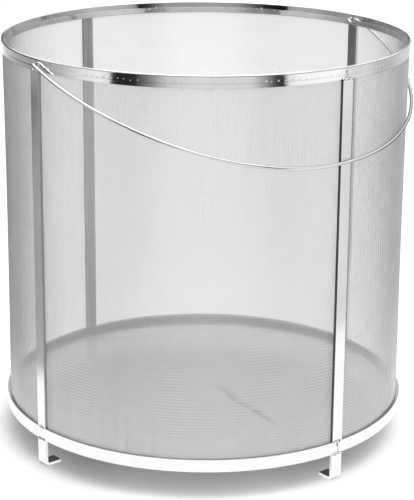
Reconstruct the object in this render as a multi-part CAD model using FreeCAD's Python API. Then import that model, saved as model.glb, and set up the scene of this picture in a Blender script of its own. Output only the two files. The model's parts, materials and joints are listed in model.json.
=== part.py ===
"""Round mash basket of woven stainless wire cloth in a welded flat-bar frame, with a swinging wire bail.

Millimetres. +Z is up, z = 0 is the surface the four feet stand on, and the Z axis is the basket's axis.
The bail's hinge axis lies along X, through the left strap (-X) and the right strap (+X). At rest the bail
lies against the front strap (-Y).
"""

import FreeCAD, Part
import math
import os

V = FreeCAD.Vector

# ---- driving dimensions ----
RIM_RADIUS = 200.0        # outside of the rim band
RIM_HEIGHT = 12.0         # outer leg of the folded rim band
RIM_SHEET = 1.1           # sheet that the rim band is folded from
RIM_INNER_LEG = 11.4      # inner leg of the fold, a little shorter than the outer one
CLOTH = 0.6               # thickness of the wire cloth, two wires deep
BODY_HEIGHT = 375.0       # underside of the bottom ring to the top of the rim
FOOT_HEIGHT = 27.0        # clearance under the bottom ring
BAR_WIDTH = 12.7          # flat bar of the ring, straps and feet
BAR_THICKNESS = 3.2
BAR_EDGE = 0.5            # rounding on the bar's long edges
TOE_LENGTH = 18.0         # foot's toe, from the bar's outer face to its tip
TOE_BEND = 5.0            # outside radius of the foot's bend
FLOOR_LIFT = 2.4          # cloth floor above the underside of the bottom ring
FLANGE_HEIGHT = 8.6       # turned-up edge of the cloth floor, welded through the wall to the ring
FIT_GAP = 0.2             # between pieces that are laid in place rather than pressed together
SEAM_WIDTH = 10.0         # lap where the two ends of the wall cloth meet
WIRE_RADIUS = 1.6         # bail
PIVOT_DROP = 5.0          # hinge axis below the top of the rim
PIVOT_HOLE_RADIUS = 2.0   # loose hole for the bail's end
CLOTH_HOLE_RADIUS = 2.3   # the cloth is cut back a little further
CUTTER_SPARE = 4.0        # how far a hole's cutter runs out past the rim
BAIL_HALF_WIDTH = 204.0   # basket's axis to the centre line of the wire where it is widest
BAIL_DEPTH = 220.8        # hinge axis to the lowest point of the wire's centre line
BAIL_LEAN = -12.0         # the lowest point is this far off centre, as the bow is bent by hand
BAIL_REST_TILT = 68.1     # degrees from hanging straight down to lying on the front strap
BOW_SIDE_TURN = 40.0      # degrees that each side arc of the bow turns through
OUTER_BEND = 3.5          # centre-line radius where the wire turns into the hole
HOOK_BEND = 3.5           # and where it turns back behind the rim
HOOK_TAIL = 3.0
HOOK_START = 194.5        # end of the straight stretch through the rim
BEAD_LENGTH = 11.0        # weld beads across the bars
BEAD_RISE = 0.9           # how far a bead stands proud
BEAD_HEIGHT = 3.0
LEDGE_BEAD = 1.9          # legs of the fillet bead on each strap's top end
LEDGE_BULGE = 0.62        # share of the leg that the bead's rounded face reaches out to
SEAM_BEAD_WIDTH = 3.0     # upright beads that close the rim band and the bottom ring
SEAM_BEAD_RISE = 0.4
BEAD_GAP = 0.3            # between an upright bead and the beads across the bars
TINY = 1e-6

# ---- worked out from them ----
RIM_TOP = FOOT_HEIGHT + BODY_HEIGHT
RIM_BOTTOM = RIM_TOP - RIM_HEIGHT
CLOTH_OUTER = RIM_RADIUS - RIM_SHEET
CLOTH_INNER = CLOTH_OUTER - CLOTH
RIM_INNER = CLOTH_INNER - RIM_SHEET
RING_BOTTOM = FOOT_HEIGHT
RING_TOP = RING_BOTTOM + BAR_WIDTH
BAR_OUTER = CLOTH_OUTER + BAR_THICKNESS
FLOOR_BOTTOM = RING_BOTTOM + FLOOR_LIFT
FLOOR_TOP = FLOOR_BOTTOM + CLOTH
FLANGE_TOP = FLOOR_BOTTOM + FLANGE_HEIGHT
FLANGE_INNER = CLOTH_INNER - CLOTH
PIVOT_Z = RIM_TOP - PIVOT_DROP

SIDES = {"left": 180.0, "front": 270.0, "right": 0.0, "back": 90.0}
QUARTER_STARTS = (45.0, 135.0, 225.0, 315.0)


def outline(points, radii):
    """Closed outline in the XZ plane through (x, z) points, each corner rounded by its own radius."""
    count = len(points)
    ends = []
    for i, (x, z) in enumerate(points):
        corner = V(x, 0, z)
        before = V(points[i - 1][0], 0, points[i - 1][1]) - corner
        after = V(points[(i + 1) % count][0], 0, points[(i + 1) % count][1]) - corner
        half = before.getAngle(after) / 2
        cut = radii[i] / math.tan(half) if radii[i] else 0.0
        before.normalize()
        after.normalize()
        middle = corner
        if radii[i]:
            inward = before + after
            inward.normalize()
            middle = corner + inward * (radii[i] / math.sin(half) - radii[i])
        ends.append((corner + before * cut, middle, corner + after * cut))
    edges = []
    for i, (start, middle, end) in enumerate(ends):
        if radii[i]:
            edges.append(Part.Arc(start, middle, end).toShape())
        following = ends[(i + 1) % count][0]
        if end.distanceToPoint(following) > TINY:
            edges.append(Part.LineSegment(end, following).toShape())
    return Part.Face(Part.Wire(edges))


def box_outline(x0, x1, z0, z1, radius):
    return outline([(x0, z0), (x1, z0), (x1, z1), (x0, z1)], [radius] * 4)


def turned(face):
    """A full turn of a face about the basket's axis."""
    return face.revolve(V(0, 0, 0), V(0, 0, 1), 360)


def turned_in_quarters(face):
    """A full turn in four quarters, which meet halfway between the sides and so clear of the pivot holes."""
    quarters = []
    for start in QUARTER_STARTS:
        copy = face.copy()
        copy.rotate(V(0, 0, 0), V(0, 0, 1), start)
        quarters.append(copy.revolve(V(0, 0, 0), V(0, 0, 1), 90))
    return quarters[0].fuse(quarters[1:])


def across(face, width):
    """A face in the XZ plane made into a bar of this width, centred on that plane."""
    bar = face.extrude(V(0, width, 0))
    bar.translate(V(0, -width / 2, 0))
    return bar


def at_side(shape, side):
    """A copy of a shape made at +X, turned round the axis to one of the four sides."""
    copy = shape.copy()
    copy.rotate(V(0, 0, 0), V(0, 0, 1), SIDES[side])
    return copy


def pivot_holes(radius):
    """Cutters for the two holes that the bail's ends pass through."""
    length = RIM_RADIUS - HOOK_START + CUTTER_SPARE
    return [
        Part.makeCylinder(radius, length, V(sign * HOOK_START, 0, PIVOT_Z), V(sign, 0, 0))
        for sign in (-1, 1)
    ]


def rim_band():
    """Sheet folded over the top of the cloth: two legs and a round fold, with a hole at each pivot."""
    fold = RIM_SHEET + CLOTH / 2
    shoulder = RIM_TOP - fold
    middle = CLOTH_OUTER - CLOTH / 2
    inner_bottom = RIM_TOP - RIM_INNER_LEG
    path = [
        V(RIM_RADIUS, 0, shoulder),
        V(RIM_INNER, 0, shoulder),
        V(RIM_INNER, 0, inner_bottom),
        V(CLOTH_INNER, 0, inner_bottom),
        V(CLOTH_INNER, 0, shoulder),
        V(CLOTH_OUTER, 0, shoulder),
        V(CLOTH_OUTER, 0, RIM_BOTTOM),
        V(RIM_RADIUS, 0, RIM_BOTTOM),
    ]
    edges = [Part.Arc(path[0], V(middle, 0, RIM_TOP), path[1]).toShape()]
    for start, end in zip(path[1:], path[2:] + path[:1]):
        edges.append(Part.LineSegment(start, end).toShape())
    return turned_in_quarters(Part.Face(Part.Wire(edges))).cut(pivot_holes(PIVOT_HOLE_RADIUS))


def mesh_wall():
    """The cloth cylinder, from behind the bottom ring up into the rim's fold."""
    top = RIM_TOP - RIM_SHEET - CLOTH / 2 - FIT_GAP
    wall = turned(box_outline(CLOTH_INNER, CLOTH_OUTER, FLOOR_BOTTOM, top, 0))
    return wall.cut(pivot_holes(CLOTH_HOLE_RADIUS))


def mesh_wall_seam():
    """The lap of the wall cloth, hidden behind the back strap."""
    bottom = FLANGE_TOP + FIT_GAP
    top = RIM_TOP - RIM_INNER_LEG - FIT_GAP
    turn = math.degrees(SEAM_WIDTH / CLOTH_INNER)
    lap = box_outline(FLANGE_INNER, CLOTH_INNER, bottom, top, 0).revolve(V(0, 0, 0), V(0, 0, 1), turn)
    lap.rotate(V(0, 0, 0), V(0, 0, 1), -turn / 2)
    return at_side(lap, "back")


def mesh_floor():
    """The cloth disc, with its edge turned up inside the wall."""
    points = [
        (0, FLOOR_BOTTOM),
        (CLOTH_INNER, FLOOR_BOTTOM),
        (CLOTH_INNER, FLANGE_TOP),
        (FLANGE_INNER, FLANGE_TOP),
        (FLANGE_INNER, FLOOR_TOP),
        (0, FLOOR_TOP),
    ]
    return turned(outline(points, [0] * len(points)))


def bottom_ring():
    return turned(box_outline(CLOTH_OUTER, BAR_OUTER, RING_BOTTOM, RING_TOP, BAR_EDGE))


def strap():
    """Flat bar from the bottom ring up to the rim band, lying on the cloth, made at +X."""
    bar = Part.makeBox(
        BAR_THICKNESS, BAR_WIDTH, RIM_BOTTOM - RING_TOP, V(CLOTH_OUTER, -BAR_WIDTH / 2, RING_TOP)
    )
    upright = [e for e in bar.Edges if e.BoundBox.ZLength > BAR_WIDTH]
    return bar.makeFillet(BAR_EDGE, upright)


def foot():
    """Bent flat bar under the ring: a leg in line with the strap and a toe turned inwards, made at +X."""
    tip = BAR_OUTER - TOE_LENGTH
    points = [
        (BAR_OUTER, FOOT_HEIGHT),
        (CLOTH_OUTER, FOOT_HEIGHT),
        (CLOTH_OUTER, BAR_THICKNESS),
        (tip, BAR_THICKNESS),
        (tip, 0),
        (BAR_OUTER, 0),
    ]
    radii = [0, 0, TOE_BEND - BAR_THICKNESS, BAR_EDGE, BAR_EDGE, TOE_BEND]
    bar = across(outline(points, radii), BAR_WIDTH)
    sides = [
        e for e in bar.Edges if e.BoundBox.YLength < TINY and e.BoundBox.ZMin < FOOT_HEIGHT - TINY
    ]
    return bar.makeFillet(BAR_EDGE, sides)


def bead_on_face(face_x, low_z, high_z, rise, length):
    """Domed weld bead on an upright face, made at +X, with its length across the bar."""
    middle = V(face_x + rise, 0, (low_z + high_z) / 2)
    low, high = V(face_x, 0, low_z), V(face_x, 0, high_z)
    edges = [Part.Arc(low, middle, high).toShape(), Part.LineSegment(high, low).toShape()]
    return across(Part.Face(Part.Wire(edges)), length)


def strap_top_weld():
    """Fillet bead on the strap's top end, against the rim band, made at +X."""
    corner = V(RIM_RADIUS, 0, RIM_BOTTOM)
    out = V(RIM_RADIUS + LEDGE_BEAD, 0, RIM_BOTTOM)
    up = V(RIM_RADIUS, 0, RIM_BOTTOM + LEDGE_BEAD)
    reach = LEDGE_BULGE * LEDGE_BEAD
    bulge = V(RIM_RADIUS + reach, 0, RIM_BOTTOM + reach)
    edges = [
        Part.LineSegment(corner, out).toShape(),
        Part.Arc(out, bulge, up).toShape(),
        Part.LineSegment(up, corner).toShape(),
    ]
    return across(Part.Face(Part.Wire(edges)), BEAD_LENGTH)


def seam_bead(face_x, low_z, high_z):
    """Upright bead that closes a band or ring, made at +X."""
    half = SEAM_BEAD_WIDTH / 2
    left, right = V(face_x, -half, low_z), V(face_x, half, low_z)
    top = V(face_x + SEAM_BEAD_RISE, 0, low_z)
    edges = [Part.Arc(left, top, right).toShape(), Part.LineSegment(right, left).toShape()]
    return Part.Face(Part.Wire(edges)).extrude(V(0, 0, high_z - low_z))


def bow_point(u, v):
    """A point of the bail's own plane at rest: u along the hinge axis, v away from it."""
    tilt = math.radians(BAIL_REST_TILT)
    return V(u, -v * math.sin(tilt), PIVOT_Z - v * math.cos(tilt))


def bow_arc(centre_u, centre_v, radius, start, end):
    """Arc in the bail's plane, between two angles in degrees from the +u direction."""
    points = []
    for angle in (start, (start + end) / 2, end):
        a = math.radians(angle)
        points.append(bow_point(centre_u + radius * math.cos(a), centre_v + radius * math.sin(a)))
    return Part.Arc(*points).toShape()


def bow_line(u0, v0, u1, v1):
    return Part.LineSegment(bow_point(u0, v0), bow_point(u1, v1)).toShape()


def bow_radii(half_width, depth):
    """Side and lower radius of a quarter bow of two tangent arcs."""
    c = math.cos(math.radians(BOW_SIDE_TURN))
    s = math.sin(math.radians(BOW_SIDE_TURN))
    side = (depth - (1 - s) * half_width / c) / (s - (1 - s) * (1 - c) / c)
    return side, (half_width - side * (1 - c)) / c


def half_bail(sign):
    """Edges from the hook behind the rim on one side to the lowest point of the bow."""
    half_width = BAIL_HALF_WIDTH - sign * BAIL_LEAN
    depth = BAIL_DEPTH - OUTER_BEND
    side, lower = bow_radii(half_width, depth)
    hook_u = HOOK_START - HOOK_BEND
    bend_u = BAIL_HALF_WIDTH - OUTER_BEND

    def mirrored(angle):
        return angle if sign > 0 else 180 - angle

    return [
        bow_line(sign * hook_u, HOOK_BEND + HOOK_TAIL, sign * hook_u, HOOK_BEND),
        bow_arc(sign * HOOK_START, HOOK_BEND, HOOK_BEND, mirrored(180), mirrored(270)),
        bow_line(sign * HOOK_START, 0, sign * bend_u, 0),
        bow_arc(sign * bend_u, OUTER_BEND, OUTER_BEND, mirrored(-90), mirrored(0)),
        bow_arc(
            sign * (BAIL_HALF_WIDTH - side), OUTER_BEND, side, mirrored(0), mirrored(BOW_SIDE_TURN)
        ),
        bow_arc(
            BAIL_LEAN, OUTER_BEND + depth - lower, lower, mirrored(BOW_SIDE_TURN), mirrored(90)
        ),
    ]


def bail():
    """Round wire bent to a bow, each end turned in through the rim and hooked behind it."""
    path = Part.Wire(half_bail(-1) + half_bail(1)[::-1])
    start = path.OrderedEdges[0]
    first = start.valueAt(start.FirstParameter)
    along = start.tangentAt(start.FirstParameter)
    section = Part.Wire(Part.makeCircle(WIRE_RADIUS, first, along))
    wire = path.makePipeShell([section], True, False)
    print("bail volume / (section x length):", wire.Volume / (math.pi * WIRE_RADIUS**2 * path.Length))
    return wire


def parts():
    """Every node's shape by name."""
    made = {
        "rim_band": rim_band(),
        "mesh_wall": mesh_wall(),
        "mesh_wall_seam": mesh_wall_seam(),
        "mesh_floor": mesh_floor(),
        "bottom_ring": bottom_ring(),
        "bail": bail(),
    }
    for side in SIDES:
        made[f"strap_{side}"] = at_side(strap(), side)
        made[f"foot_{side}"] = at_side(foot(), side)
    half = BEAD_HEIGHT / 2
    lower_weld = bead_on_face(BAR_OUTER, RING_TOP - half, RING_TOP + half, BEAD_RISE, BEAD_LENGTH)
    foot_weld = bead_on_face(BAR_OUTER, RING_BOTTOM - half, RING_BOTTOM + half, BEAD_RISE, BEAD_LENGTH)
    groups = {
        "strap_top_welds": strap_top_weld(),
        "strap_bottom_welds": lower_weld,
        "foot_welds": foot_weld,
    }
    for name, bead in groups.items():
        made[name] = Part.makeCompound([at_side(bead, side) for side in SIDES])
    rim_seam = seam_bead(RIM_RADIUS, RIM_BOTTOM + LEDGE_BEAD + BEAD_GAP, RIM_TOP - 2 * RIM_SHEET)
    ring_seam = seam_bead(BAR_OUTER, RING_BOTTOM + half + BEAD_GAP, RING_TOP - half - BEAD_GAP)
    made["rim_seam_weld"] = at_side(rim_seam, "front")
    made["ring_seam_weld"] = at_side(ring_seam, "front")
    return made


os.makedirs("parts", exist_ok=True)
for name, shape in parts().items():
    print(f"{name:20s} solids {len(shape.Solids):2d} valid {shape.isValid()} volume {shape.Volume:10.1f}")
    shape.exportStep(os.path.join("parts", name + ".step"))
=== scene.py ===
"""Looks of the mesh brew basket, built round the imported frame. Metres, +Z up, the same frame as the CAD.

The CAD bars and bail keep their shapes and get polished steel. The wire cloth, which the CAD holds as
thin solid sheets, is laid here from its own wires. The rim is turned again with its slow waves and
pressed line, the weld beads get their ripples, and the spot welds are added.
"""

import bmesh
import bpy
import json
import math
import numpy as np
from mathutils import Matrix, Vector


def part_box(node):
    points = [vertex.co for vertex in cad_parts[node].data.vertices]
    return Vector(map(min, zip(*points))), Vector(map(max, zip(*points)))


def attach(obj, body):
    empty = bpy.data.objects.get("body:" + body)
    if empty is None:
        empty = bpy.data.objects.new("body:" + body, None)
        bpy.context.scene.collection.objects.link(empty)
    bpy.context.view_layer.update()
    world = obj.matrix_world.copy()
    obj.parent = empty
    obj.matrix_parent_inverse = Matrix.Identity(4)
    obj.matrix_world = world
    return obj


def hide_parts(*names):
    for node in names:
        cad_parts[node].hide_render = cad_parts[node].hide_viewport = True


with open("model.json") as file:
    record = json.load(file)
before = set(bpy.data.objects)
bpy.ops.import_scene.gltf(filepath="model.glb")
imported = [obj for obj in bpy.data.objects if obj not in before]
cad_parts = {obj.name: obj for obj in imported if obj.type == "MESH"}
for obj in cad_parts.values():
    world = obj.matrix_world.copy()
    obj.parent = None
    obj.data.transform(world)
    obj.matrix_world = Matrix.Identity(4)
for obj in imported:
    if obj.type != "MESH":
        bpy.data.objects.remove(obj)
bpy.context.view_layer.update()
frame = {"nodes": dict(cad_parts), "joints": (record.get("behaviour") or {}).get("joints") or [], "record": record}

MM = 0.001

# ---- sizes read from the frame ----
rim_low, rim_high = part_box("rim_band")
ring_low, ring_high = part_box("bottom_ring")
wall_low, wall_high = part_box("mesh_wall")
floor_low, floor_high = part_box("mesh_floor")
lap_low, lap_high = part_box("mesh_wall_seam")
strap_low, strap_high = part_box("strap_right")
RIM_RADIUS = rim_high.x
RIM_BOTTOM, RIM_TOP = rim_low.z, rim_high.z
RING_BOTTOM, RING_TOP = ring_low.z, ring_high.z
BAR_OUTER = ring_high.x
BAR_WIDTH = strap_high.y - strap_low.y
CLOTH_OUTER = wall_high.x
FLOOR_RADIUS = floor_high.x
SIDES = {"right": 0, "back": 90, "left": 180, "front": 270}  # degrees from +X

# ---- wire cloth ----
WALL_PITCH = 0.42 * MM
WALL_WIRE = 0.115 * MM      # diameter
FLOOR_PITCH = 1.25 * MM
FLOOR_WIRE = 0.48 * MM
CLOTH = 0.6 * MM            # thickness that the CAD gives the cloth
WIRE_SIDES = 4
WALL_PIECES = 4             # the wall's hoops, and its uprights, are split into this many pieces
HOOP_STEPS = 96             # straight steps in one turn of a hoop wire
UPRIGHT_STEPS = 16
FLOOR_STEPS = 56            # closer together in the middle, where the crease is
FLOOR_EVEN = 0.3            # share of the even spacing in that
LAP_STEPS = 4
EDGE_STEPS = 3
WEAVE_STRAY = 0.06          # how far a wire strays from even spacing, as a share of the pitch
BAND_PITCH = 3.1 * MM       # brighter and duller wires come in bands this far apart
WANDER = 0.22 * MM          # how far the weave drifts over a hand's width
WANDER_WAVES = 7
WALL_GIVE = 0.9 * MM        # how far the wall dips between two straps
FLOOR_SAG = 1.2 * MM
FLOOR_WAVE = 0.35 * MM      # slow unevenness of the sheet
FOLD_LINE_FROM, FOLD_LINE_TO = (0.019, 0.008), (-0.004, -0.137)   # a crease in the floor sheet
FOLD_LINE_WIDTH, FOLD_LINE_DEPTH = 8 * MM, 1.8 * MM
SEED = 7

# ---- steel ----
WIRE_PAINTED_SHADE_TURN = (0.35, 0.7)  # how far the bail's surface turns away from view where painted shade darkens its edge
UPRIGHT_GRAIN = (1, 1, 0.02)    # stretch of the noise that draws the grain of an upright bar
ROUND_GRAIN = (0.02, 0.02, 1)   # and of a bar or band that goes round

# ---- welds ----
BEAD_LENGTH = 11 * MM
BEAD_WIDTH = 3.4 * MM
BEAD_RISE = 0.95 * MM
BEAD_SUNK = 0.05 * MM       # its edges lie this deep in the metal
BEAD_STEPS = (45, 15)       # points along and across
SEAM_WIDTH = 3 * MM
SEAM_RISE = 0.38 * MM
SEAM_STOPS = 1.2 * MM       # the rim's seam bead stops this far below its top
LEDGE = 1.9 * MM            # the beads on top of the straps fill the ledge under the rim
RIPPLE_PITCH = 1.25 * MM
SPOT_RADIUS = 1.35 * MM
SPOT_PITCH = 6.6 * MM
SPOT_SUNK = 0.13 * MM       # the most that a spot lies sunk in the sheet
SPOT_STRAY = (1.4 * MM, 0.6 * MM)   # out of its place along the row and across it
SPOT_STEPS = 14
SPOT_BELOW = 0.4 * MM       # the rows run this far below the middle of the rim
SPOT_PROFILE = [            # share of the radius, height in mm
    (0, 0.08), (0.3, 0.07), (0.6, 0.04), (0.85, -0.01), (1.0, -0.06),
]

# ---- rim band: mm in from its outer face, and up from its lower edge ----
RIM_STEPS = 480
RIM_HOLD = 0.16             # supporting points this close to each corner keep the flats flat
CLOTH_SLOT = (1.08, 1.72, 9.9)   # between the outer sheet and the inner leg: from, to, how far up
PRESSED_LINE = (2.6, 3.8, 5.0, 0.05)   # from, middle, to, depth
FOLD_START = 10.3
FOLD_STEPS = 13
FOLD_INNER = 2.32           # the leg leans in from here
LEG_RIDGE = (2.8, 6.3, 5.5)      # to the ridge that the spot welds stand on: inset, from, to
LEG_FOOT = (2.45, 0.62)
BAIL_HOLE = 2 * MM          # radius
HOLE_SIDES = 48
SHARP_FROM = 55             # degrees: corners at least this sharp stay sharp
RIM_WAVES = 9
RIM_WAVE = 0.035 * MM

# ---- camera ----
CAMERA_AZIMUTH = -39.26     # degrees from looking along +Y
CAMERA_PITCH = 16.35
CAMERA_ROLL = 0.434
CAMERA_DISTANCE = 1.6652    # from the basket's axis, level
CAMERA_HEIGHT = 0.7057
CAMERA_LENS = 123.6
CAMERA_SHIFT = (0.0047, -0.07)

# ---- studio: light levels, 1 is white ----
LIGHT_PLACE, LIGHT_SIZE, LIGHT_POWER = (0, 0, 2.2), (2.0, 2.0), 19
FLOOR_HALF = 12.0
FLOOR_COLOUR = 0.8
GLOW_BY_DISTANCE = [        # the floor glows more, further from the basket: metres, level
    (0.15, 0.0), (0.17, 0.07), (0.185, 0.18), (0.194, 0.34), (0.204, 0.62), (0.222, 0.9),
]
GLOW_REACH = 0.25
GLOW_CENTRE = (-0.006, 0.003, 0)
PAINTED_FLOOR_SHADOW = (0.04, 0.13, 0.66)    # painted shadow under the basket's left and right: from, full, share of the colour
ROOM_LIGHT = 0.33           # even light from all round, on the floor
STEEL_LEVEL = 0.78          # how much light the steel gives back
UNDER_LEVEL = 0.3           # the floor below the basket, as the steel sees it
UNDER_RADII = (0.12, 0.215)
TABLE_CENTRE = (0.07, -0.07, 0)
TABLE_RADII = (0.455, 0.525)
ROOM_BY_AZIMUTH = [         # beyond the table: degrees from looking along -Y towards +X, level
    (-180, 0.54), (-160, 0.36), (-138, 0.30), (-122, 0.43), (-110, 0.68), (-97, 0.84), (-90, 0.74),
    (-88.5, 0.01), (-76, 0.02),     # a black zone
    (-69, 0.18), (-58, 0.58), (-45, 0.68), (-16, 0.66), (-8, 0.27),
    (-3, 0.07), (1.5, 0.03),        # and a second one
    (4, 0.75), (10, 0.95), (34, 0.97), (44, 0.67), (56, 0.66), (66, 0.50), (80, 0.48), (95, 0.62),
    (112, 0.60), (118, 0.74), (155, 0.9), (168, 0.80), (180, 0.54),
]
ROOM_REACH = 2.5
ROOM_BY_REACH = [           # share of that distance, share of the room's level
    (0.0, 0.7), (0.25, 0.7), (0.4, 0.8), (0.62, 0.8), (0.8, 1.0),
]
DARK_TOWARDS = (0.1, 0.995, 0)   # the room is darker that way, as the rim's inner leg sees it
DARK_DISTANCES = (0.85, 0.95, 1.75, 1.9, 2.5, 3.2)   # between the first four, and past the last two
DARK_TURN = (0.692, 0.723)       # cosine of the angle off that way: none, full
DARK_SHARE = 0.2
LIT_TOWARDS = (-0.76, 0.65, 0)   # and the floor is brighter that way, as the left strap sees it
LIT_TURN = (0.9, 0.97)
LIT_DISTANCES = (1.6, 1.8)       # up to the first, and none from the second
LIT_GAIN = 0.38
CEILING_HEIGHTS = (0.16, 0.4)    # sine of the elevation where the room ends and the ceiling is full
CEILING_LEVELS = (0.7, 1.7)      # over the camera, and behind the basket
ROOM_SHARES = (0.6, 1.0)         # of the room, on the same two sides
ROOM_TURN = (-1, 0.3)            # cosines of the angle off BEHIND, from the one share to the other
BEHIND = (0.63, 0.777, 0)
SIDEWAYS = (0.777, -0.63, 0)
SIDE_SHARE = 0.75                # of all that, far to the left and right
SIDE_TURN = (0.2, 1)             # cosines of the angle off SIDEWAYS: none, full

rng = np.random.default_rng(SEED)


# ---------------------------------------------------------------- camera

def make_camera():
    data = bpy.data.cameras.new("camera")
    data.lens = CAMERA_LENS
    data.sensor_width = 36
    data.shift_x, data.shift_y = CAMERA_SHIFT
    data.clip_start, data.clip_end = 0.05, 60
    camera = bpy.data.objects.new("camera", data)
    bpy.context.scene.collection.objects.link(camera)
    azimuth = math.radians(CAMERA_AZIMUTH)
    place = Vector((math.sin(azimuth), -math.cos(azimuth), 0)) * CAMERA_DISTANCE
    place.z = CAMERA_HEIGHT
    turn = Matrix.Rotation(azimuth, 4, "Z")
    tip = Matrix.Rotation(math.radians(90 - CAMERA_PITCH), 4, "X")
    roll = Matrix.Rotation(math.radians(CAMERA_ROLL), 4, "Z")
    camera.matrix_world = Matrix.Translation(place) @ turn @ tip @ roll
    bpy.context.scene.camera = camera


# ---------------------------------------------------------------- node trees

class Nodes:
    """Short way of writing a node tree."""

    def __init__(self, tree):
        self.tree = tree
        tree.nodes.clear()

    def add(self, kind, inputs=None, **settings):
        node = self.tree.nodes.new(kind)
        for key, value in settings.items():
            setattr(node, key, value)
        for key, value in (inputs or {}).items():
            self.feed(node.inputs[key], value)
        return node

    def feed(self, socket, value):
        if isinstance(value, bpy.types.NodeSocket):
            self.tree.links.new(value, socket)
        else:
            socket.default_value = value

    def math(self, operation, a, b=0.0):
        return self.add("ShaderNodeMath", {0: a, 1: b}, operation=operation).outputs[0]

    def step(self, value, low, high, out_low=0.0, out_high=1.0):
        """out_low below low, out_high above high, smooth between."""
        ends = {"From Min": low, "From Max": high, "To Min": out_low, "To Max": out_high}
        node = self.add("ShaderNodeMapRange", {"Value": value, **ends}, interpolation_type="SMOOTHSTEP")
        return node.outputs["Result"]

    def dot(self, a, b):
        return self.add("ShaderNodeVectorMath", {0: a, 1: b}, operation="DOT_PRODUCT").outputs["Value"]

    def distance(self, a, b=(0, 0, 0)):
        return self.add("ShaderNodeVectorMath", {0: a, 1: b}, operation="DISTANCE").outputs["Value"]

    def noise(self, where, scale, detail=2.0, stretch=(1, 1, 1)):
        """Noise from 0 to 1. A small number in stretch makes streaks along that axis."""
        placed = self.add("ShaderNodeMapping", {"Vector": where, "Scale": stretch}).outputs[0]
        inputs = {"Vector": placed, "Scale": scale, "Detail": detail}
        return self.add("ShaderNodeTexNoise", inputs).outputs["Fac"]

    def bump(self, height, strength, depth, below=None):
        """Normals tipped by a height, on top of another bump where one is given."""
        inputs = {"Height": height, "Strength": strength, "Distance": depth}
        if below is not None:
            inputs["Normal"] = below
        return self.add("ShaderNodeBump", inputs).outputs[0]

    def ramp(self, value, stops):
        """Grey level for a value from 0 to 1, from (place, level) stops."""
        node = self.add("ShaderNodeValToRGB", {"Fac": value})
        ramp = node.color_ramp
        while len(ramp.elements) < len(stops):
            ramp.elements.new(1.0)
        for element, (place, level) in zip(ramp.elements, stops):
            element.position = place
            element.color = (level, level, level, 1)
        return node.outputs["Color"]

    def mix(self, factor, a, b, blend="MIX"):
        node = self.add("ShaderNodeMix", data_type="RGBA", blend_type=blend)
        colours = [s for s in node.inputs if s.type == "RGBA"]
        self.feed(node.inputs[0], factor)
        self.feed(colours[0], a)
        self.feed(colours[1], b)
        return [s for s in node.outputs if s.type == "RGBA"][0]


def grey(level):
    return (level, level, level, 1)


def node_material(name):
    material = bpy.data.materials.new(name)
    material.use_nodes = True
    return material, Nodes(material.node_tree)


# ---------------------------------------------------------------- studio

def room_by_azimuth(n, direction):
    split = n.add("ShaderNodeSeparateXYZ", {"Vector": direction}).outputs
    azimuth = n.math("ARCTAN2", split["X"], n.math("MULTIPLY", split["Y"], -1.0))
    turn = n.math("ADD", n.math("DIVIDE", azimuth, 2 * math.pi), 0.5)
    return n.ramp(turn, [((degrees + 180) / 360, level) for degrees, level in ROOM_BY_AZIMUTH])


def make_world():
    """Even light on the floor. Polished steel sees a dimmer room under a bright ceiling."""
    world = bpy.data.worlds.new("studio")
    bpy.context.scene.world = world
    world.use_nodes = True
    n = Nodes(world.node_tree)
    direction = n.add("ShaderNodeTexCoord").outputs["Generated"]
    height = n.add("ShaderNodeSeparateXYZ", {"Vector": direction}).outputs["Z"]
    behind = n.dot(direction, BEHIND)
    side = n.step(behind, *ROOM_TURN, *ROOM_SHARES)
    room = n.mix(1.0, room_by_azimuth(n, direction), side, "MULTIPLY")
    room = n.mix(n.step(height, *CEILING_HEIGHTS), room, n.step(behind, -1, 1, *CEILING_LEVELS))
    sideways = n.math("ABSOLUTE", n.dot(direction, SIDEWAYS))
    room = n.mix(1.0, room, n.step(sideways, *SIDE_TURN, 1, SIDE_SHARE), "MULTIPLY")
    towards = n.step(n.dot(direction, DARK_TOWARDS), *DARK_TURN)
    dark = n.math("MULTIPLY", towards, n.step(height, *CEILING_HEIGHTS, 1, 0))
    room = n.mix(dark, room, n.mix(1.0, room, grey(DARK_SHARE), "MULTIPLY"))
    rays = n.add("ShaderNodeLightPath").outputs
    colour = n.mix(rays["Is Glossy Ray"], grey(ROOM_LIGHT), room)
    colour = n.mix(rays["Is Camera Ray"], colour, grey(1.0))
    background = n.add("ShaderNodeBackground", {"Color": colour, "Strength": 1.0})
    n.add("ShaderNodeOutputWorld", {"Surface": background.outputs[0]})


def room_in_steel(n, place, from_axis):
    """What polished steel sees in the floor: dim below the basket, a white table, then the room."""
    near = n.ramp(n.math("DIVIDE", from_axis, ROOM_REACH), ROOM_BY_REACH)
    room = n.mix(1.0, room_by_azimuth(n, place), near, "MULTIPLY")
    towards = n.step(n.math("DIVIDE", n.dot(place, DARK_TOWARDS), from_axis), *DARK_TURN)
    begins, full, fades, ends, far_begins, far_full = DARK_DISTANCES
    ring = n.math("MULTIPLY", n.step(from_axis, begins, full), n.step(from_axis, fades, ends, 1, 0))
    dark = n.math("MULTIPLY", n.math("MAXIMUM", ring, n.step(from_axis, far_begins, far_full)), towards)
    room = n.mix(dark, room, n.mix(1.0, room, grey(DARK_SHARE), "MULTIPLY"))
    lit = n.step(n.math("DIVIDE", n.dot(place, LIT_TOWARDS), from_axis), *LIT_TURN)
    lit = n.math("MULTIPLY", lit, n.step(from_axis, *LIT_DISTANCES, LIT_GAIN, 0))
    room = n.mix(1.0, room, n.math("ADD", lit, 1.0), "MULTIPLY")
    table = n.mix(n.step(from_axis, *UNDER_RADII), grey(UNDER_LEVEL), grey(1.0))
    return n.mix(n.step(n.distance(place, TABLE_CENTRE), *TABLE_RADII), table, room)


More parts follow.
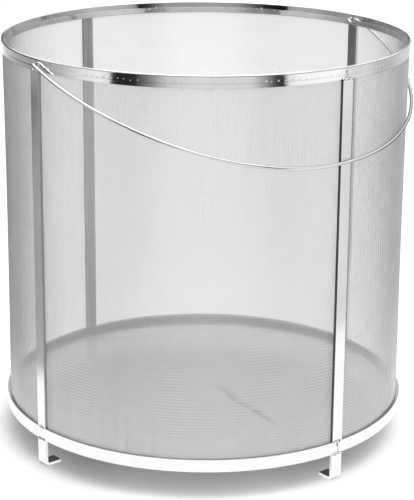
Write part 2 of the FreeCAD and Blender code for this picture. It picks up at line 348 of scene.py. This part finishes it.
def make_floor():
    """Pale table top, lit from below outside the basket's footprint, with painted shadow in its colour under the
    basket's left and right.
    """
    mesh = bpy.data.meshes.new("floor")
    corners = [(x * FLOOR_HALF, y * FLOOR_HALF, 0) for x, y in ((-1, -1), (1, -1), (1, 1), (-1, 1))]
    mesh.from_pydata(corners, [], [(0, 1, 2, 3)])
    floor = bpy.data.objects.new("floor", mesh)
    bpy.context.scene.collection.objects.link(floor)
    material, n = node_material("floor_white")
    place = n.add("ShaderNodeNewGeometry").outputs["Position"]
    seen = room_in_steel(n, place, n.distance(place))
    shine = n.add("ShaderNodeEmission", {"Color": seen, "Strength": 1.0 / STEEL_LEVEL})
    reach = n.math("DIVIDE", n.distance(place, GLOW_CENTRE), GLOW_REACH)
    glow = n.ramp(reach, [(distance / GLOW_REACH, level) for distance, level in GLOW_BY_DISTANCE])
    glow = n.add("ShaderNodeEmission", {"Color": glow, "Strength": 1.0})
    # painted shadow: the floor's colour darkens under the basket's left and right
    start, full, share = PAINTED_FLOOR_SHADOW
    shade = n.step(n.math("ABSOLUTE", n.dot(place, SIDEWAYS)), start, full, 1, share)
    matt = n.add("ShaderNodeBsdfDiffuse", {"Color": n.math("MULTIPLY", shade, FLOOR_COLOUR)})
    plain = n.add("ShaderNodeAddShader", {0: matt.outputs[0], 1: glow.outputs[0]})
    glossy = n.add("ShaderNodeLightPath").outputs["Is Glossy Ray"]
    both = n.add("ShaderNodeMixShader", {0: glossy, 1: plain.outputs[0], 2: shine.outputs[0]})
    n.add("ShaderNodeOutputMaterial", {"Surface": both.outputs[0]})
    mesh.materials.append(material)


def area_light(name, place, target, size, power):
    data = bpy.data.lights.new(name, "AREA")
    data.shape = "RECTANGLE"
    data.size, data.size_y = size
    data.energy = power
    light = bpy.data.objects.new(name, data)
    bpy.context.scene.collection.objects.link(light)
    turn = (Vector(place) - Vector(target)).to_track_quat("Z", "Y")
    light.matrix_world = Matrix.Translation(place) @ turn.to_matrix().to_4x4()


# ---------------------------------------------------------------- steel

def rough_painted_shade_sides(n):
    """1 on the narrow sides of a strap, 0 on its rolled faces. These sides are made rougher and get painted shade.
    """
    place = n.add("ShaderNodeTexCoord").outputs["Object"]
    split = n.add("ShaderNodeSeparateXYZ", {"Vector": place}).outputs
    across = n.math("MINIMUM", n.math("ABSOLUTE", split["X"]), n.math("ABSOLUTE", split["Y"]))
    half = BAR_WIDTH / 2
    return n.step(across, half - 0.45 * MM, half - 0.15 * MM)


def rough_painted_shade_level_faces(n):
    """1 on level faces, such as the top and bottom of the ring, and 0 on upright ones. These faces are made
    rougher and get painted shade.
    """
    facing = n.add("ShaderNodeTexCoord").outputs["Normal"]
    level = n.math("ABSOLUTE", n.add("ShaderNodeSeparateXYZ", {"Vector": facing}).outputs["Z"])
    return n.step(level, 0.45, 0.85)


def rough_painted_shade_inner_faces(n):
    """1 on the faces of a strap that look towards the cloth, 0 on the others. These faces are made rougher and get
    painted shade.
    """
    place = n.add("ShaderNodeTexCoord").outputs
    level = n.add("ShaderNodeVectorMath", {0: place["Object"], 1: (1, 1, 0)}, operation="MULTIPLY")
    outward = n.add("ShaderNodeVectorMath", {0: level.outputs[0]}, operation="NORMALIZE")
    return n.step(n.dot(outward.outputs[0], place["Normal"]), -0.6, -0.4, 1.0, 0.0)


def finish_steel(n, colour, roughness, bump=None, metallic=1.0):
    inputs = {"Base Color": colour, "Metallic": metallic, "Roughness": roughness}
    if bump:
        inputs["Normal"] = bump
    shader = n.add("ShaderNodeBsdfPrincipled", inputs)
    n.add("ShaderNodeOutputMaterial", {"Surface": shader.outputs[0]})


def two_tone(n, mask, dark, light):
    return n.mix(mask, (*dark, 1), (*light, 1))


def polished_band_steel():
    """Bright rolled sheet: slow waves in the surface, lengthwise hairlines and faint smudges."""
    material, n = node_material("rim_steel")
    place = n.add("ShaderNodeTexCoord").outputs["Object"]
    smudge = n.noise(place, 38, 4)
    hairline = n.noise(place, 900, 2, ROUND_GRAIN)
    colour = two_tone(n, smudge, (0.70, 0.70, 0.705), (0.86, 0.86, 0.865))
    roughness = n.math("ADD", n.step(smudge, 0.3, 0.75, 0.03, 0.09), n.math("MULTIPLY", hairline, 0.03))
    slow = n.bump(n.noise(place, 45, 1), 0.5, 0.12 * MM)
    finish_steel(n, colour, roughness, n.bump(hairline, 0.12, 0.02 * MM, slow))
    return material


def flat_bar_steel(name, roughness_and_shade_mask, stretch, dark, light):
    """Flat bar: bright rolled faces with lengthwise grain. The faces that the mask picks are rougher and painted
    between two levels of grey: painted shade, and painted light in the left strap's paler copy.
    """
    material, n = node_material(name)
    place = n.add("ShaderNodeTexCoord").outputs["Object"]
    smudge = n.noise(place, 30, 4)
    grain = n.noise(place, 1400, 2, stretch)
    face = two_tone(n, smudge, (0.70, 0.70, 0.70), (0.84, 0.84, 0.845))
    # painted shade on the faces that the mask picks, between the dark and light greys; the left strap's paler copy
    # is painted light
    edge = n.mix(n.noise(place, 300, 3), grey(dark), grey(light))
    mask = roughness_and_shade_mask(n)
    colour = n.mix(mask, face, edge)
    roughness = n.math("MAXIMUM", n.step(smudge, 0.3, 0.75, 0.09, 0.17), n.math("MULTIPLY", mask, 0.22))
    slow = n.bump(n.noise(place, 35, 1), 0.4, 0.1 * MM)
    finish_steel(n, colour, roughness, n.bump(grain, 0.12, 0.02 * MM, slow))
    return material


def drawn_wire_steel():
    """Bright drawn rod: smooth, with short rubbed marks, and painted shade where its surface turns away from view.
    """
    material, n = node_material("wire_steel")
    place = n.add("ShaderNodeTexCoord").outputs["Object"]
    rubbed = n.noise(place, 160, 3)
    turned = n.add("ShaderNodeLayerWeight", {"Blend": 0.5}).outputs["Facing"]
    bright = two_tone(n, rubbed, (0.76, 0.76, 0.76), (0.88, 0.88, 0.88))
    # painted shade: the wire goes dark where its surface turns away from view
    colour = n.mix(n.step(turned, *WIRE_PAINTED_SHADE_TURN), bright, grey(0.1))
    bump = n.bump(n.noise(place, 700, 2), 0.1, 0.02 * MM)
    finish_steel(n, colour, n.step(rubbed, 0.3, 0.75, 0.1, 0.2), bump)
    return material


def weld_bead_steel():
    """Weld metal: bright, a little straw and grey from the heat, finely wrinkled."""
    material, n = node_material("weld_steel")
    place = n.add("ShaderNodeTexCoord").outputs["Object"]
    heat = n.step(n.noise(place, 620, 3), 0.36, 0.6)
    colour = two_tone(n, heat, (0.16, 0.155, 0.15), (0.9, 0.9, 0.89))
    bump = n.bump(n.noise(place, 2600, 2), 0.3, 0.05 * MM)
    finish_steel(n, colour, n.step(heat, 0.3, 0.7, 0.3, 0.16), bump)
    return material


def spot_weld_steel():
    """Pressed spots: the same bright sheet, left matt."""
    material, n = node_material("spot_steel")
    place = n.add("ShaderNodeTexCoord").outputs["Object"]
    burn = n.noise(place, 900, 2)
    colour = two_tone(n, burn, (0.9, 0.9, 0.89), (1.0, 1.0, 1.0))
    bump = n.bump(n.noise(place, 3500, 2), 0.25, 0.04 * MM)
    finish_steel(n, colour, n.step(burn, 0.3, 0.7, 0.42, 0.3), bump, 0.6)
    return material


def crease_painted_shade(n, place):
    """1 on the line of the floor's crease, where the wires get painted shade, 0 away from it."""
    start, end = np.array(FOLD_LINE_FROM), np.array(FOLD_LINE_TO)
    length = np.linalg.norm(end - start)
    ahead = (end - start) / length
    side = (-ahead[1], ahead[0], 0)
    share = n.math("DIVIDE", n.math("SUBTRACT", n.dot(place, (*ahead, 0)), float(start @ ahead)), length)
    uneven = n.math("MULTIPLY", n.math("SUBTRACT", n.noise(place, 25, 2), 0.5), 2 * FOLD_LINE_WIDTH)
    off = n.math("ADD", n.math("SUBTRACT", n.dot(place, side), float(start @ side[:2])), uneven)
    near = n.step(n.math("ABSOLUTE", off), 0, FOLD_LINE_WIDTH, 1.0, 0.0)
    ends = n.math("MULTIPLY", n.step(share, 0, 0.2), n.step(share, 0.7, 1, 1.0, 0.0))
    broken = n.step(n.noise(place, 120, 2), 0.35, 0.65, 0.5, 1.5)
    return n.math("MULTIPLY", n.math("MULTIPLY", near, ends), broken)


def cloth_wire_steel(name, level, axis, ends, swing, crease=0.0):
    """Fine drawn wire of the cloth, in faint bands across an axis.

    swing is their contrast at the two ends, and crease how much painted shade darkens the wires along the floor's
    crease.
    """
    material, n = node_material(name)
    place = n.add("ShaderNodeTexCoord").outputs["Object"]
    along = n.dot(place, axis)
    drift = n.math("MULTIPLY", n.noise(place, 14, 2), 5.0)
    phase = n.math("ADD", n.math("MULTIPLY", along, 2 * math.pi / BAND_PITCH), drift)
    clear = n.step(n.noise(place, 16, 2), 0.38, 0.62)
    strength = n.math("MULTIPLY", n.step(along, *ends, *swing), clear)
    band = n.math("MULTIPLY", n.math("SINE", phase), strength)
    patch = n.math("MULTIPLY", n.math("SUBTRACT", n.noise(place, 60, 3), 0.5), 0.12)
    colour = n.math("ADD", n.math("ADD", band, patch), level)
    if crease:
        # painted shade along the floor's crease
        colour = n.math("SUBTRACT", colour, n.math("MULTIPLY", crease_painted_shade(n, place), crease))
    finish_steel(n, colour, 0.3)
    return material


# ---------------------------------------------------------------- wires

def mesh_object(name, points, quads):
    """Mesh of quads from arrays of points and of corner numbers."""
    mesh = bpy.data.meshes.new(name)
    mesh.vertices.add(len(points))
    mesh.vertices.foreach_set("co", np.asarray(points, np.float32).ravel())
    mesh.loops.add(quads.size)
    mesh.loops.foreach_set("vertex_index", quads.astype(np.int32).ravel())
    mesh.polygons.add(len(quads))
    mesh.polygons.foreach_set("loop_start", np.arange(0, quads.size, 4, dtype=np.int32))
    mesh.polygons.foreach_set("use_smooth", np.ones(len(quads), bool))
    mesh.update(calc_edges=True)
    thing = bpy.data.objects.new(name, mesh)
    bpy.context.scene.collection.objects.link(thing)
    return thing


def grid_quads(rows, columns, wrap_rows, wrap_columns):
    """Corner numbers of the quads of a rows x columns grid of points, joined up where it wraps."""
    i = np.arange(rows if wrap_rows else rows - 1)
    j = np.arange(columns if wrap_columns else columns - 1)
    a, b = np.meshgrid(i, j, indexing="ij")
    row, next_row = a * columns, (a + 1) % rows * columns
    next_b = (b + 1) % columns
    return np.stack([row + b, next_row + b, next_row + next_b, row + next_b], -1).reshape(-1, 4)


def unit(vectors):
    return vectors / np.linalg.norm(vectors, axis=-1, keepdims=True)


def wires(name, paths, outward, wire=WALL_WIRE, closed=False):
    """Round wires along paths, an array of (wire, step, xyz). outward is a direction square to them."""
    if closed:
        along = unit(np.roll(paths, -1, axis=1) - np.roll(paths, 1, axis=1))
    else:
        along = unit(np.gradient(paths, axis=1))
    beside = unit(np.cross(along, outward))
    above = np.cross(beside, along)
    around = np.linspace(0, 2 * math.pi, WIRE_SIDES, endpoint=False)[:, None]
    ring = np.cos(around) * above[:, :, None, :] + np.sin(around) * beside[:, :, None, :]
    points = paths[:, :, None, :] + wire / 2 * ring
    count, steps = paths.shape[:2]
    quads = grid_quads(steps, WIRE_SIDES, closed, True)
    faces = np.concatenate([quads + i * steps * WIRE_SIDES for i in range(count)])
    return mesh_object(name, points.reshape(-1, 3), faces)


def evenly(low, high, pitch=WALL_PITCH):
    """Places of wires between two edges."""
    count = int(round((high - low) / pitch))
    places = low + (np.arange(count) + 0.5) * (high - low) / count
    return places + rng.uniform(-1, 1, count) * WEAVE_STRAY * pitch


def wander():
    """Smooth drift of the weave, as a function of turn in radians and distance in metres."""
    waves = [
        (rng.integers(0, 10), rng.uniform(-70, 70), rng.uniform(0, 2 * math.pi), rng.uniform(0.4, 1))
        for _ in range(WANDER_WAVES)
    ]

    def drift(turn, distance):
        total = sum(w * np.sin(k * turn + m * distance + p) for k, m, p, w in waves)
        return WANDER * total / math.sqrt(WANDER_WAVES)

    return drift


def steady(turn, distance):
    """No drift, for the narrow edge of the floor."""
    return 0 * turn


def wall_radius(turn, height):
    """Outer face of the wall cloth: it dips a little between the straps, away from the rim and ring."""
    share = (height - RING_TOP) / (RIM_BOTTOM - RING_TOP)
    dip = np.sin(np.clip(share, 0, 1) * math.pi) * np.sin(2 * turn) ** 2
    return CLOTH_OUTER - WALL_GIVE * dip


def round_the_axis(radius, turn, height):
    return np.stack([np.cos(turn) * radius, np.sin(turn) * radius, height + 0 * turn], -1)


def hoop_paths(heights, turn, inset, drift):
    """Level wires: paths and the directions away from the axis."""
    turn = np.tile(turn, (len(heights), 1))
    height = heights[:, None] + drift(turn, heights[:, None])
    paths = round_the_axis(wall_radius(turn, height) - inset, turn, height)
    return paths, round_the_axis(1.0, turn, 0)


def upright_paths(turns, low, high, steps, inset, drift):
    """Upright wires between two heights: paths and the directions away from the axis."""
    height = np.tile(np.linspace(low, high, steps), (len(turns), 1))
    turn = turns[:, None] + drift(turns[:, None], height) / CLOTH_OUTER
    paths = round_the_axis(wall_radius(turn, height) - inset, turn, height)
    return paths, round_the_axis(1.0, turn, 0)


def finish_cloth(piece, material, node):
    piece.data.materials.append(material)
    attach(piece, "basket")
    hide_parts(node)


def weave_wall(material):
    """Hoop wires outside, upright wires inside, each kind in a few pieces."""
    drift_up, drift_round = wander(), wander()
    turn = np.linspace(0, 2 * math.pi, HOOP_STEPS, endpoint=False)
    heights = evenly(wall_low.z + WALL_WIRE, wall_high.z - WALL_WIRE)
    for number, part in enumerate(np.array_split(heights, WALL_PIECES), 1):
        paths, outward = hoop_paths(part, turn, WALL_WIRE / 2, drift_up)
        finish_cloth(wires(f"wall_hoops_{number}", paths, outward, closed=True), material, "mesh_wall")
    span = (wall_low.z, wall_high.z, UPRIGHT_STEPS)
    turns = evenly(0, 2 * math.pi * CLOTH_OUTER) / CLOTH_OUTER
    for number, part in enumerate(np.array_split(turns, WALL_PIECES), 1):
        paths, outward = upright_paths(part, *span, 1.5 * WALL_WIRE, drift_round)
        finish_cloth(wires(f"wall_uprights_{number}", paths, outward), material, "mesh_wall")


def weave_lap(material):
    """The cloth's two ends lap behind the back strap, so the inner end shows as a strip of its own."""
    drift = wander()
    half = lap_high.x / CLOTH_OUTER
    inset = CLOTH_OUTER - lap_high.y
    middle = math.radians(SIDES["back"])
    heights = evenly(lap_low.z, lap_high.z)
    turn = np.linspace(middle - half, middle + half, LAP_STEPS)
    paths, outward = hoop_paths(heights, turn, inset + WALL_WIRE / 2, drift)
    finish_cloth(wires("lap_hoops", paths, outward), material, "mesh_wall_seam")
    span = (lap_low.z, lap_high.z, UPRIGHT_STEPS)
    turns = evenly((middle - half) * CLOTH_OUTER, (middle + half) * CLOTH_OUTER) / CLOTH_OUTER
    paths, outward = upright_paths(turns, *span, inset + 1.5 * WALL_WIRE, drift)
    finish_cloth(wires("lap_uprights", paths, outward), material, "mesh_wall_seam")


def floor_dip(x, y, reach):
    """How far the floor sheet hangs below its edge: a slight sag, slow unevenness and one crease."""
    inside = 1 - np.clip((x**2 + y**2) / reach**2, 0, 1)
    start, end = np.array(FOLD_LINE_FROM), np.array(FOLD_LINE_TO)
    line = unit(end - start)
    along = (x - start[0]) * line[0] + (y - start[1]) * line[1]
    off = (x - start[0]) * line[1] - (y - start[1]) * line[0]
    share = np.clip(along / np.linalg.norm(end - start), 0, 1)
    crease = np.exp(-np.abs(off) / FOLD_LINE_WIDTH) * np.sin(math.pi * share)
    uneven = np.sin(31 * x + 17 * y) * np.sin(23 * y - 29 * x + 1.3) + 0.5 * np.sin(71 * x + 53 * y + 2)
    free = np.minimum(6 * inside, 1)
    return FLOOR_SAG * inside + (FOLD_LINE_DEPTH * crease + FLOOR_WAVE * uneven) * free


def weave_floor(material):
    """Two layers of straight wires across a slightly sagging disc, and its turned-up edge."""
    lower, upper = floor_low.z + FLOOR_WIRE / 2, floor_low.z + CLOTH - FLOOR_WIRE / 2
    reach = FLOOR_RADIUS - FLOOR_WIRE
    up = np.array((0.0, 0.0, 1.0))
    for label, axis, height in (("left_right", 0, lower), ("front_back", 1, upper)):
        drift = wander()
        offset = evenly(-reach, reach, FLOOR_PITCH)[:, None]
        half = np.sqrt(np.maximum(reach**2 - offset**2, 0))
        even = np.linspace(-1, 1, FLOOR_STEPS)
        along = half * (FLOOR_EVEN * even + (1 - FLOOR_EVEN) * even**3)
        across = offset + drift(0.0, along + offset) * (1 - (offset / reach) ** 2)
        x, y = (along, across) if axis == 0 else (across, along)
        level = height - floor_dip(x, y, reach)
        paths = np.stack([along, across, level] if axis == 0 else [across, along, level], -1)
        finish_cloth(wires(f"floor_wires_{label}", paths, up, FLOOR_WIRE), material, "mesh_floor")
    inset = CLOTH_OUTER - FLOOR_RADIUS
    heights = evenly(lower + FLOOR_WIRE, floor_high.z, FLOOR_PITCH)
    turn = np.linspace(0, 2 * math.pi, HOOP_STEPS, endpoint=False)
    paths, outward = hoop_paths(heights, turn, inset + FLOOR_WIRE / 2, steady)
    hoops = wires("floor_edge_hoops", paths, outward, FLOOR_WIRE, closed=True)
    finish_cloth(hoops, material, "mesh_floor")
    span = (lower, floor_high.z, EDGE_STEPS)
    turns = evenly(0, 2 * math.pi * CLOTH_OUTER, FLOOR_PITCH) / CLOTH_OUTER
    paths, outward = upright_paths(turns, *span, inset + 1.5 * FLOOR_WIRE, steady)
    finish_cloth(wires("floor_edge_uprights", paths, outward, FLOOR_WIRE), material, "mesh_floor")


# ---------------------------------------------------------------- rim band

def rim_outline():
    """Section of the rolled rim: an outer sheet, a rounded fold over the cloth, and an inner leg."""
    slot_in, slot_out, slot_top = CLOTH_SLOT
    line_low, line_middle, line_high, depth = PRESSED_LINE
    top = (RIM_TOP - RIM_BOTTOM) / MM
    half = FOLD_INNER / 2
    fold = [
        (half - half * math.cos(a), FOLD_START + (top - FOLD_START) * math.sin(a))
        for a in np.linspace(0, math.pi, FOLD_STEPS)
    ]
    ridge, ridge_high, ridge_low = LEG_RIDGE
    toe, toe_height = LEG_FOOT
    outer = [(0.3, 0), (0.08, 0.08), (0, 0.3), (0, line_low), (depth, line_middle), (0, line_high)]
    inner = [(ridge, ridge_high), (ridge, ridge_low), (toe, toe_height + 0.3), (toe - 0.2, toe_height)]
    slot = [(slot_out, toe_height), (slot_out, slot_top), (slot_in, slot_top), (slot_in, 0)]
    return np.array(outer + fold + inner + slot)


def held(outline):
    """The same closed outline with a point close to both ends of every long side."""
    points = []
    for start, end in zip(outline, np.roll(outline, -1, axis=0)):
        points.append(start)
        length = np.linalg.norm(end - start)
        if length > 4 * RIM_HOLD:
            step = (end - start) / length * RIM_HOLD
            points += [start + step, end - step]
    return np.array(points)


def cut_bail_holes(rim):
    """Round holes on the bail's axis, through both sides of the band."""
    joint = next(j for j in frame["joints"] if j["name"] == "bail_pivot")
    shape = bmesh.new()
    axis = Vector(joint["axis"]).to_track_quat("Z", "Y").to_matrix().to_4x4()
    place = Matrix.Translation(joint["pos_m"]) @ axis
    size = {"radius1": BAIL_HOLE, "radius2": BAIL_HOLE, "depth": 2.2 * RIM_RADIUS}
    bmesh.ops.create_cone(shape, cap_ends=True, segments=HOLE_SIDES, matrix=place, **size)
    mesh = bpy.data.meshes.new("cutter")
    shape.to_mesh(mesh)
    shape.free()
    cutter = bpy.data.objects.new("cutter", mesh)
    bpy.context.scene.collection.objects.link(cutter)
    cut = rim.modifiers.new("holes", "BOOLEAN")
    cut.operation = "DIFFERENCE"
    cut.object = cutter
    result = bpy.data.meshes.new_from_object(rim.evaluated_get(bpy.context.evaluated_depsgraph_get()))
    rim.modifiers.clear()
    rim.data = result
    bpy.data.objects.remove(cutter)
    result.set_sharp_from_angle(angle=math.radians(SHARP_FROM))


def make_rim(material):
    """The band turned round the axis, with slow waves in the sheet and the bail's two holes."""
    inset, up = held(rim_outline()).T * MM
    turn = np.linspace(0, 2 * math.pi, RIM_STEPS, endpoint=False)[:, None]
    height = RIM_BOTTOM + up
    wave = 0
    for _ in range(RIM_WAVES):
        phase = rng.integers(6, 70) * turn + rng.uniform(-500, 500) * up + rng.uniform(0, 6.3)
        wave = wave + np.sin(phase)
    radius = RIM_RADIUS - RIM_WAVE * (3 - wave / math.sqrt(RIM_WAVES)) / 3 - inset
    points = np.stack([np.cos(turn) * radius, np.sin(turn) * radius, height + 0 * radius], -1)
    rim = mesh_object("rim", points.reshape(-1, 3), grid_quads(*radius.shape, True, True))
    rim.data.materials.append(material)
    cut_bail_holes(rim)
    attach(rim, "basket")
    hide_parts("rim_band")


# ---------------------------------------------------------------- welds

def bead(middle, along, outward, length, width, rise):
    """Points and quads of one rippled weld bead that lies on a face."""
    middle, along, outward = (np.asarray(v, float) for v in (middle, along, outward))
    across = np.cross(outward, along)
    t = np.linspace(-1, 1, BEAD_STEPS[0])[:, None]
    s = np.linspace(-1, 1, BEAD_STEPS[1])[None, :]
    edge = 1 + 0.09 * np.sin(7 * t + rng.uniform(0, 6)) + 0.06 * np.sin(17 * t + rng.uniform(0, 6))
    ends = np.sqrt(np.clip(1 - np.abs(t) ** 5, 0, 1))
    dome = np.sqrt(np.clip(1 - s**2, 0, 1))
    phase = (t * length / 2 + 0.35 * width * s**2) / RIPPLE_PITCH + rng.uniform(0, 1)
    ripple = 0.74 + 0.26 * np.abs(np.sin(math.pi * phase))
    lumps = 0.82 + 0.18 * np.sin(11 * t + rng.uniform(0, 6)) * np.sin(5 * s + rng.uniform(0, 6) + 4 * t)
    height = rise * ends * dome * ripple * lumps - BEAD_SUNK
    place = (
        middle
        + (t * length / 2)[..., None] * along
        + (s * width / 2 * edge * (0.35 + 0.65 * ends))[..., None] * across
        + height[..., None] * outward
    )
    return place.reshape(-1, 3), grid_quads(*BEAD_STEPS, False, False)


def joined(name, patches):
    """One object from patches of (points, quads). Points in the same place become one."""
    points, faces, total = [], [], 0
    for p, q in patches:
        points.append(p)
        faces.append(q + total)
        total += len(p)
    thing = mesh_object(name, np.concatenate(points), np.concatenate(faces))
    shape = bmesh.new()
    shape.from_mesh(thing.data)
    bmesh.ops.remove_doubles(shape, verts=shape.verts, dist=0.001 * MM)
    shape.to_mesh(thing.data)
    shape.free()
    return thing


def at_side(side):
    """Directions out from the axis, round it and up, at one of the four straps."""
    turn = math.radians(SIDES[side])
    out = np.array((math.cos(turn), math.sin(turn), 0))
    return out, np.array((-out[1], out[0], 0)), np.array((0.0, 0.0, 1.0))


def finish_bead(piece, material, node):
    piece.data.materials.append(material)
    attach(piece, "basket")
    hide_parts(node)


def make_beads(material):
    """Beads across the straps and feet, and the upright beads that close the rim and the ring."""
    lower, foot, ledge = [], [], []
    for side in SIDES:
        out, beside, up = at_side(side)
        for beads, height in ((lower, RING_TOP), (foot, RING_BOTTOM)):
            middle = out * BAR_OUTER + up * height
            beads.append(bead(middle, beside, out, BEAD_LENGTH, BEAD_WIDTH, BEAD_RISE))
        corner = out * (RIM_RADIUS + LEDGE / 2) + up * (RIM_BOTTOM + LEDGE / 2)
        slope = (out + up) / math.sqrt(2)
        ledge.append(bead(corner, beside, slope, BEAD_LENGTH, LEDGE * math.sqrt(2), 0.35 * LEDGE))
    finish_bead(joined("strap_bottom_beads", lower), material, "strap_bottom_welds")
    finish_bead(joined("foot_beads", foot), material, "foot_welds")
    finish_bead(joined("strap_top_beads", ledge), material, "strap_top_welds")
    out, beside, up = at_side("front")
    for label, radius, low, high in (
        ("rim", RIM_RADIUS, RIM_BOTTOM + LEDGE, RIM_TOP - SEAM_STOPS),
        ("ring", BAR_OUTER, RING_BOTTOM, RING_TOP),
    ):
        middle = out * radius + up * (low + high) / 2
        piece = joined(f"{label}_seam_bead", [bead(middle, up, out, high - low, SEAM_WIDTH, SEAM_RISE)])
        finish_bead(piece, material, f"{label}_seam_weld")


def spot(middle, outward):
    """Low round button that a spot weld leaves."""
    up = np.array((0.0, 0.0, 1.0))
    beside = unit(np.cross(up, outward))
    size = SPOT_RADIUS * rng.uniform(0.75, 1.15)
    around = np.linspace(0, 2 * math.pi, SPOT_STEPS, endpoint=False)
    stretch = rng.uniform(0.85, 1.15)
    sunk = SPOT_SUNK * rng.uniform(0, 1)
    rings = [
        middle
        + size * r * (np.cos(around)[:, None] * beside * stretch + np.sin(around)[:, None] * up)
        + (height * MM - sunk) * outward
        for r, height in SPOT_PROFILE
    ]
    points = np.concatenate(rings)
    return points, grid_quads(len(rings), len(around), False, True)


def make_spots(material):
    """Spot welds that clench the rim's fold onto the cloth, outside and inside."""
    height = (RIM_BOTTOM + RIM_TOP) / 2 - SPOT_BELOW
    for label, radius, sign in (("outer", RIM_RADIUS, 1), ("inner", RIM_RADIUS - LEG_RIDGE[0] * MM, -1)):
        patches = []
        for turn in np.arange(0, 2 * math.pi, SPOT_PITCH / radius):
            turn += rng.uniform(-1, 1) * SPOT_STRAY[0] / radius
            out = np.array((math.cos(turn), math.sin(turn), 0))
            up = np.array((0, 0, height + rng.uniform(-1, 1) * SPOT_STRAY[1]))
            patches.append(spot(out * radius + up, out * sign))
        piece = joined(f"rim_spots_{label}", patches)
        piece.data.materials.append(material)
        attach(piece, "basket")


# ---------------------------------------------------------------- putting it together

bpy.context.scene.view_settings.view_transform = "Standard"
make_camera()
make_world()
make_floor()
area_light("top", LIGHT_PLACE, (0, 0, 0), LIGHT_SIZE, LIGHT_POWER)

cloth_steel = cloth_wire_steel("cloth_steel", 0.78, (0, 0, 1), (0.1, 0.17), (0.17, 0.05))
floor_bands = ((-0.63, -0.78, 0), (-0.2, 0.2), (0.06, 0.12))
floor_cloth_steel = cloth_wire_steel("floor_cloth_steel", 0.7, *floor_bands, crease=0.24)
weld_steel = weld_bead_steel()
# the straps' narrow sides get painted shade, near-black greys, and more roughness
bar_steel = flat_bar_steel("bar_steel", rough_painted_shade_sides, UPRIGHT_GRAIN, 0.08, 0.16)
# painted light: the left strap's narrow sides are paler than the other straps', still rougher than its faces
painted_light_edge_steel = flat_bar_steel("painted_light_edge_steel", rough_painted_shade_sides, UPRIGHT_GRAIN, 0.42, 0.6)
# painted shade: the right strap's faces towards the cloth are painted near black
painted_shade_inner_steel = flat_bar_steel("painted_shade_inner_steel", rough_painted_shade_inner_faces, UPRIGHT_GRAIN, 0.02, 0.06)
# painted shade: the ring's top and bottom are darker greys than its outer face
ring_steel = flat_bar_steel("ring_steel", rough_painted_shade_level_faces, ROUND_GRAIN, 0.24, 0.38)
rim_steel = polished_band_steel()
# painted shade: the feet's level faces, such as the toes' tops, are painted near black
foot_steel = flat_bar_steel("foot_steel", rough_painted_shade_level_faces, UPRIGHT_GRAIN, 0.03, 0.09)
finishes = {
    "rim_steel": rim_steel,
    "bar_steel": bar_steel,
    "wire_steel": drawn_wire_steel(),
    "weld_steel": weld_steel,
    "cloth_steel": cloth_steel,
}
for entry in frame["record"]["subparts"]:
    node = frame["nodes"][entry["node"]]
    node.data.materials.clear()
    node.data.materials.append(finishes[entry["material_slot"]])
# copies that carry painted shade and light: the right strap's inner faces, the left strap's paler sides, the
# ring's and the feet's level faces
differing = {"bottom_ring": ring_steel, "strap_right": painted_shade_inner_steel, "strap_left": painted_light_edge_steel}
differing.update({f"foot_{side}": foot_steel for side in SIDES})
for name, steel in differing.items():
    frame["nodes"][name].data.materials[0] = steel
weave_wall(cloth_steel)
weave_lap(cloth_steel)
weave_floor(floor_cloth_steel)
make_beads(weld_steel)
make_rim(rim_steel)
make_spots(spot_weld_steel())
